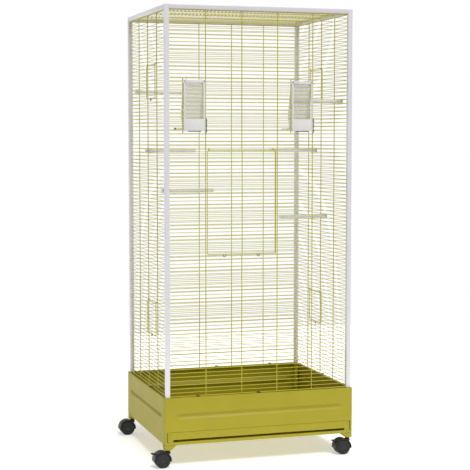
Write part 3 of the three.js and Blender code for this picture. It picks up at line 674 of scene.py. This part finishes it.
def pressed_sheet(side, slot):
    """One base sheet: hemmed over at the top, folded under at the bottom, with a pressed groove."""
    name = f"base_{side}"
    place = facing(side, base_middle(side))
    low, high = spans(name, place)
    half = (high.x - low.x) / 2
    height = high.y - low.y
    corner = 3 * MM if side in ("front", "rear") else 0.0
    flat = half - corner
    reach = half - GROOVE_END
    groove_up = height - GROOVE_DROP
    across = [-flat + flat * 2 * i / 24 for i in range(25)]
    for sign in (-1, 1):
        across += [sign * (reach - GROOVE_TAPER * 2 * i / 16) for i in range(17)]
        across += [sign * (half - SLOT_END)]
    across = sorted(set(round(x, 6) for x in across))
    ups = [groove_up + GROOVE_HEIGHT * (i / 14 - 0.5) for i in range(15)]
    ups += [groove_up - GROOVE_HEIGHT / 2 - 1.5 * MM, groove_up + GROOVE_HEIGHT / 2 + 1.5 * MM]
    ups += [height - 3 * MM - i * 7 * MM for i in range(6)] + [3 * MM, 6 * MM]
    if slot:
        ups += [height - SLOT_DROP, height - SLOT_DROP - SLOT_HEIGHT]
    ups = sorted(set(round(y, 6) for y in ups))
    turn = 2 * MM
    fold = [(-HEM_UNDER, 0)] + arc((-turn, turn), turn, -90, 0, 3)[:-1] + [(0, turn)]
    hem = arc((-turn, height - turn), turn, 0, 90, 3)
    hem[0] = (0, height - turn)
    hem += [(-2 * turn + 0.2 * MM, height - 0.8 * MM), (-2 * turn, height - turn), (-2 * turn, height - HEM)]
    profile = fold + [(0, y) for y in ups if turn < y < height - turn] + hem
    path = [(x, 0.0, 0.0, 1.0) for x in across]
    if corner:
        bends = [math.radians(a) for a in (22.5, 45, 67.5, 90)]
        right = [(flat + corner * math.sin(a), corner * (math.cos(a) - 1), math.sin(a), math.cos(a))
                 for a in bends]
        left = [(-x, z, -nx, nz) for x, z, nx, nz in reversed(right)]
        path = left + path + right
    sheet = bmesh.new()
    grid = []
    for x, z, nx, nz in path:
        line = []
        for out, up in profile:
            depth = out - (groove(x, up - groove_up, reach) if out == 0 else 0)
            line.append(sheet.verts.new((x + nx * depth, low.y + up, high.z + z + nz * depth)))
        grid.append(line)
    slot_low, slot_high = height - SLOT_DROP - SLOT_HEIGHT, height - SLOT_DROP
    for i in range(len(path) - 1):
        for j in range(len(profile) - 1):
            middle_x = (path[i][0] + path[i + 1][0]) / 2
            middle_up = (profile[j][1] + profile[j + 1][1]) / 2
            face_on = profile[j][0] == 0 and profile[j + 1][0] == 0
            if slot and face_on and abs(middle_x) < half - SLOT_END and slot_low < middle_up < slot_high:
                continue
            sheet.faces.new((grid[i][j], grid[i + 1][j], grid[i + 1][j + 1], grid[i][j + 1]))
    bmesh.ops.recalc_face_normals(sheet, faces=sheet.faces[:])
    sheet.normal_update()
    thickness = 1.2 * MM
    sheet.verts.index_update()
    outward = 1 if sum((f.normal.z * f.calc_area()) for f in sheet.faces) > 0 else -1
    points = [v.co.copy() for v in sheet.verts]
    points += [v.co - v.normal * thickness * outward for v in sheet.verts]
    count = len(sheet.verts)
    faces = [[v.index for v in f.verts] for f in sheet.faces]
    faces += [[v.index + count for v in reversed(f.verts)] for f in sheet.faces]
    for edge in sheet.edges:
        if len(edge.link_faces) == 1:
            a, b = (v.index for v in edge.verts)
            faces.append([a, b, b + count, a + count])
    sheet.free()
    form = Form(place)
    form.add(points, faces)
    if slot:
        sill = half - SLOT_END - 15 * MM
        bottom, lintel = low.y + slot_low, low.y + slot_high
        face = high.z - thickness / 2
        form.box((-sill, bottom - thickness, high.z - SILL_DEPTH), (sill, bottom, face), 0.3 * MM)
        form.box((-sill, lintel, high.z - 4 * MM), (sill, lintel + thickness, face), 0.3 * MM)
    form.piece(f"base_sheet_{side}", "root", [olive_enamel], [name], smooth=28)


def base_middle(side):
    low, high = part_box(f"base_{side}")
    middle = (low + high) / 2
    middle.z = low.z
    return middle


for side in TURN:
    pressed_sheet(side, side == "front")

# ---- tray and its runners ----
tray_low, tray_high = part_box("tray")
front_place = facing("front", Vector(((tray_low.x + tray_high.x) / 2, tray_low.y, 0)))
tray = Form(front_place)
lip_half = (tray_high.x - tray_low.x) / 2
gap_top = tray_high.z - 25 * MM
lip = [(-lip_half, tray_low.z), (LIP_END - lip_half, tray_low.z), (LIP_END - lip_half, gap_top),
       (lip_half - LIP_END, gap_top), (lip_half - LIP_END, tray_low.z), (lip_half, tray_low.z),
       (lip_half, tray_high.z - 2 * MM), (-lip_half, tray_high.z - 2 * MM)]
tray.slab(lip, -1.5 * MM, 0, 0.5 * MM)
rolled_edge = [(x, tray_high.z - 2 * MM, -2 * MM) for x in (-lip_half, lip_half)]
tray.sweep(rolled_edge, 2 * MM, 16)
for sign in (-1, 1):
    rivet = [(2.2 * MM, -0.4 * MM), (2.2 * MM, -0.1 * MM), (1.4 * MM, 0), (0.3 * MM, 0)]
    tray.lathe(rivet, 16, 1, centre=(sign * (lip_half - 8 * MM), tray_high.z - 8 * MM, 0))
middle = (tray_low + tray_high) / 2
tray.place = Matrix.Translation((middle.x, 0, 0))
pan_side = 303 * MM
tray.open_box(-pan_side, pan_side, tray_low.y + 2 * MM, tray_high.y, gap_top + 0.4 * MM, gap_top + 17 * MM,
              1.2 * MM, 4 * MM, draft=1.5 * MM)
tray.piece("tray_pressing", "tray", [olive_enamel, dark_wire_and_painted_shade], ["tray"])

for side in ("left", "right"):
    runner = frame["nodes"][f"tray_runner_{side}"]
    runner.data.materials.clear()
    runner.data.materials.append(olive_enamel)

# ---- corner feet and casters ----
for corner in CORNERS:
    low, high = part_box(f"corner_foot_{corner}")
    out_x = -1 if corner.endswith("left") else 1
    out_y = -1 if corner.startswith("front") else 1
    foot = Form()
    rings = []
    size = high.x - low.x
    for height, taper, cut in ((high.z, 0, 0.3), (high.z - 0.3 * MM, 0, 0), (high.z - 3 * MM, 0, 0),
                               (low.z + 1 * MM, 0.92, 0), (low.z + 0.3 * MM, 0.98, 0.3), (low.z, 1, 1.0)):
        width = size - taper * 14 * MM
        x_edge = high.x if out_x > 0 else low.x
        y_edge = high.y if out_y > 0 else low.y
        x0, x1 = sorted((x_edge, x_edge - out_x * width))
        y0, y1 = sorted((y_edge, y_edge - out_y * width))
        rings.append([(x, y, height) for x, y in inset(rounded_rectangle(x0, x1, y0, y1, 3 * MM), cut * MM)])
    foot.loft(rings)
    foot.piece(f"corner_foot_block_{corner}", "root", [olive_enamel], [f"corner_foot_{corner}"])


def caster(corner):
    low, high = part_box(f"caster_wheels_{corner}")
    axle = (low + high) / 2
    radius = (high.z - low.z) / 2
    half = (high.y - low.y) / 2
    house_low, house_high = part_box(f"caster_housing_{corner}")
    stem_x = next(j["pos_m"][0] for j in frame["joints"] if j["name"] == f"caster_{corner}_swivel")
    foot_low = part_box(f"corner_foot_{corner}")[0]
    dome = axle.x - house_low.x
    inner = radius + 0.8 * MM
    body = Form(Matrix.Translation(axle))
    cover = arc((0, 0), dome, -8, 188, 36) + arc((0, 0), inner, 188, -8, 36)
    body.slab(cover, -half, half, 0.9 * MM, axis="y")
    web = arc((0, 0), radius - 2 * MM, 0, 360, 36)[:-1]
    body.slab(web, -4.5 * MM, 4.5 * MM, 0.6 * MM, axis="y")
    stem = stem_x - axle.x
    nose = [(0, 2 * MM), (stem + 8 * MM, 2 * MM)] + arc((stem + 4 * MM, 12 * MM), 4 * MM, 0, 60, 4)
    nose += [(0, 24 * MM)]
    body.slab(nose, -4.5 * MM, 4.5 * MM, 1 * MM, axis="y")
    collar_top = foot_low.z - 0.3 * MM - axle.z
    collar_low = math.sqrt(dome ** 2 - (stem - 4 * MM) ** 2) - 5 * MM
    body.lathe([(9.5 * MM, collar_low), (8.6 * MM, collar_low + 5 * MM), (7.6 * MM, collar_top - 3 * MM),
                (7.6 * MM, collar_top - 0.6 * MM), (7 * MM, collar_top)], 28, centre=(stem, 0, 0))
    body.lathe([(4.4 * MM, collar_top - 1 * MM), (4.4 * MM, house_high.z - axle.z - 1 * MM),
                (3.6 * MM, house_high.z - axle.z)], 18, 1, centre=(stem, 0, 0))
    body.piece(f"caster_body_{corner}", f"caster_{corner}", [black_nylon, zinc],
               [f"caster_housing_{corner}"])

    wheels = Form(Matrix.Translation(axle))
    near = 5.3 * MM
    for sign in (-1, 1):
        profile = [(3 * MM, near), (radius - 3 * MM, near), (radius - 1.4 * MM, near + 0.4 * MM),
                   (radius - 0.3 * MM, near + 2.4 * MM), (radius, near + 5 * MM), (radius, half - 5 * MM),
                   (radius - 0.5 * MM, half - 2.2 * MM), (radius - 2 * MM, half - 0.4 * MM),
                   (radius - 4 * MM, half - 0.4 * MM)]
        outline = profile + [(radius - 5 * MM, half - 1 * MM), (3 * MM, half - 1 * MM)]
        wheels.lathe([(r, sign * y) for r, y in outline], 40, 1, axis="y")
        hub = [(radius - 4.6 * MM, half - 1.2 * MM), (radius - 4.8 * MM, half - 0.5 * MM),
               (radius - 7 * MM, half - 2.4 * MM), (9 * MM, half - 2.8 * MM), (7 * MM, half - 1 * MM),
               (5.6 * MM, half - 0.3 * MM), (1.5 * MM, half - 0.3 * MM)]
        wheels.lathe([(r, sign * y) for r, y in hub], 40, axis="y")
    wheels.lathe([(3 * MM, -near - 1 * MM), (3 * MM, near + 1 * MM)], 16, 2, axis="y")
    wheels.piece(f"caster_wheel_pair_{corner}", f"wheels_{corner}",
                 [black_nylon, black_tread, zinc],
                 [f"caster_wheels_{corner}"])

    if corner.startswith("front"):
        low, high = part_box(f"caster_brake_{corner}")
        middle_y = (low.y + high.y) / 2
        width = (high.y - low.y) / 2
        pedal = Form(Matrix.Translation((0, middle_y, 0)))
        side_view = [(high.x, low.z + 0.4 * MM), (high.x, high.z),
                     (low.x + 7 * MM, high.z), (low.x + 4 * MM, high.z),
                     (low.x, high.z), (low.x, low.z + 1.2 * MM), (low.x + 4 * MM, low.z + 0.6 * MM)]
        pedal.slab(side_view, -width, width, 0.5 * MM, axis="y")
        pedal.piece(f"brake_pedal_{corner}", f"brake_{corner}", [black_nylon],
                    [f"caster_brake_{corner}"])


for corner in CORNERS:
    caster(corner)

# ---- clips that hold the panels on the base's top edge ----
def base_clip(side, x):
    """A bent wire loop that hooks over the base's top edge."""
    high = spans(f"base_{side}", walls[side])[1]
    form = Form(walls[side])
    top, out = high.y + 2.6 * MM, high.z - 1.3 * MM
    for shift in (-4 * MM, 4 * MM):
        leg = [(x + shift, top, 1 * MM), (x + shift, top, out), (x + shift, high.y - 5 * MM, out)]
        form.sweep(bend(leg, 1.2 * MM, 3), 1.2 * MM)
    form.sweep([(x - 5 * MM, top, out - 1 * MM), (x + 5 * MM, top, out - 1 * MM)], 1.2 * MM)
    form.sweep([(x - 5 * MM, top, 1 * MM), (x + 5 * MM, top, 1 * MM)], 1.2 * MM)
    # The clips take the dark wire finish as painted shade: the real loops are olive, and the shade round them
    # is painted into the wire.
    form.piece(f"base_clip_{side}_{abs(round(x / MM))}", "root", [dark_wire_and_painted_shade])


for side, places in (("front", (-213, -5)), ("rear", (-213, -6)), ("left", (57,)), ("right", (0,))):
    for x in places:
        base_clip(side, x * MM)

# ---- floor, light and camera ----
floor_finish, floor_tree, floor_shader, floor_place = new_finish("white acrylic light table")
floor_shader.inputs["Roughness"].default_value = 0.9
floor_shader.inputs["Emission Color"].default_value = linear("#ffffff")
floor_shader.inputs["Emission Strength"].default_value = 0.4
fibre = add(floor_tree, "ShaderNodeTexNoise", {"Vector": floor_place, "Scale": 1 / (30 * MM), "Detail": 2.0})
paper = add(floor_tree, "ShaderNodeMix", {"Factor": fibre.outputs["Fac"], "A": linear("#f9f9f9"),
                                          "B": linear("#fdfdfd")}, data_type="RGBA")
floor_tree.links.new(paper.outputs["Result"], floor_shader.inputs["Base Color"])
floor_mesh = bpy.data.meshes.new("studio_floor")
reach = 2.6
near = -1.0
floor_mesh.from_pydata([(-reach, near, 0), (reach, near, 0), (reach, reach, 0), (-reach, reach, 0)], [],
                       [(0, 1, 2, 3)])
floor_mesh.materials.append(floor_finish)
floor = bpy.data.objects.new("studio_floor", floor_mesh)
bpy.context.scene.collection.objects.link(floor)

# White paper all round, lit most from behind, less from the sides and front, and less still from above.
world = bpy.data.worlds.new("studio")
bpy.context.scene.world = world
world.use_nodes = True
studio = world.node_tree
toward = add(studio, "ShaderNodeTexCoord").outputs["Generated"]
parts = add(studio, "ShaderNodeSeparateXYZ", {"Vector": toward})
ceiling = add(studio, "ShaderNodeMapRange", {"Value": parts.outputs["Z"], "From Min": 0.12, "From Max": 0.4,
                                             "To Min": 1.0, "To Max": 0.4}, interpolation_type="SMOOTHSTEP")
sides = add(studio, "ShaderNodeMapRange", {"Value": parts.outputs["Y"], "From Min": -0.3, "From Max": 0.7,
                                           "To Min": 0.48, "To Max": 1.0})
level = add(studio, "ShaderNodeMath", {0: ceiling.outputs["Result"], 1: sides.outputs["Result"]},
            operation="MULTIPLY")
rays = add(studio, "ShaderNodeLightPath")
shown = add(studio, "ShaderNodeMath", {0: level.outputs["Value"], 1: rays.outputs["Is Camera Ray"]},
            operation="MAXIMUM")
studio.links.new(shown.outputs["Value"], studio.nodes["Background"].inputs["Strength"])
studio.nodes["Background"].inputs["Color"].default_value = linear("#ffffff")


def soft_sun(name, height, bearing, spread, strength):
    """A large far-off lamp, its height and bearing from the front given in degrees."""
    lamp = bpy.data.lights.new(name, "SUN")
    lamp.angle = math.radians(spread)
    lamp.energy = strength
    thing = bpy.data.objects.new(name, lamp)
    thing.rotation_euler = (math.radians(90 - height), 0, math.radians(bearing))
    bpy.context.scene.collection.objects.link(thing)


soft_sun("key_light", 60, 4, 28, 2.3)

rail_low, rail_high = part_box("top_rail_front")
cage_x = (rail_low.x + rail_high.x) / 2
camera_data = bpy.data.cameras.new("view")
camera_data.sensor_width = 36
camera_data.lens = 101.1
camera = bpy.data.objects.new("view", camera_data)
camera.location = (cage_x - 1.38, -4.34, 1.069)
camera.rotation_euler = (math.radians(90 - 4.25), 0, -math.radians(17.58))
bpy.context.scene.collection.objects.link(camera)
bpy.context.scene.camera = camera
bpy.context.scene.view_settings.view_transform = "Standard"
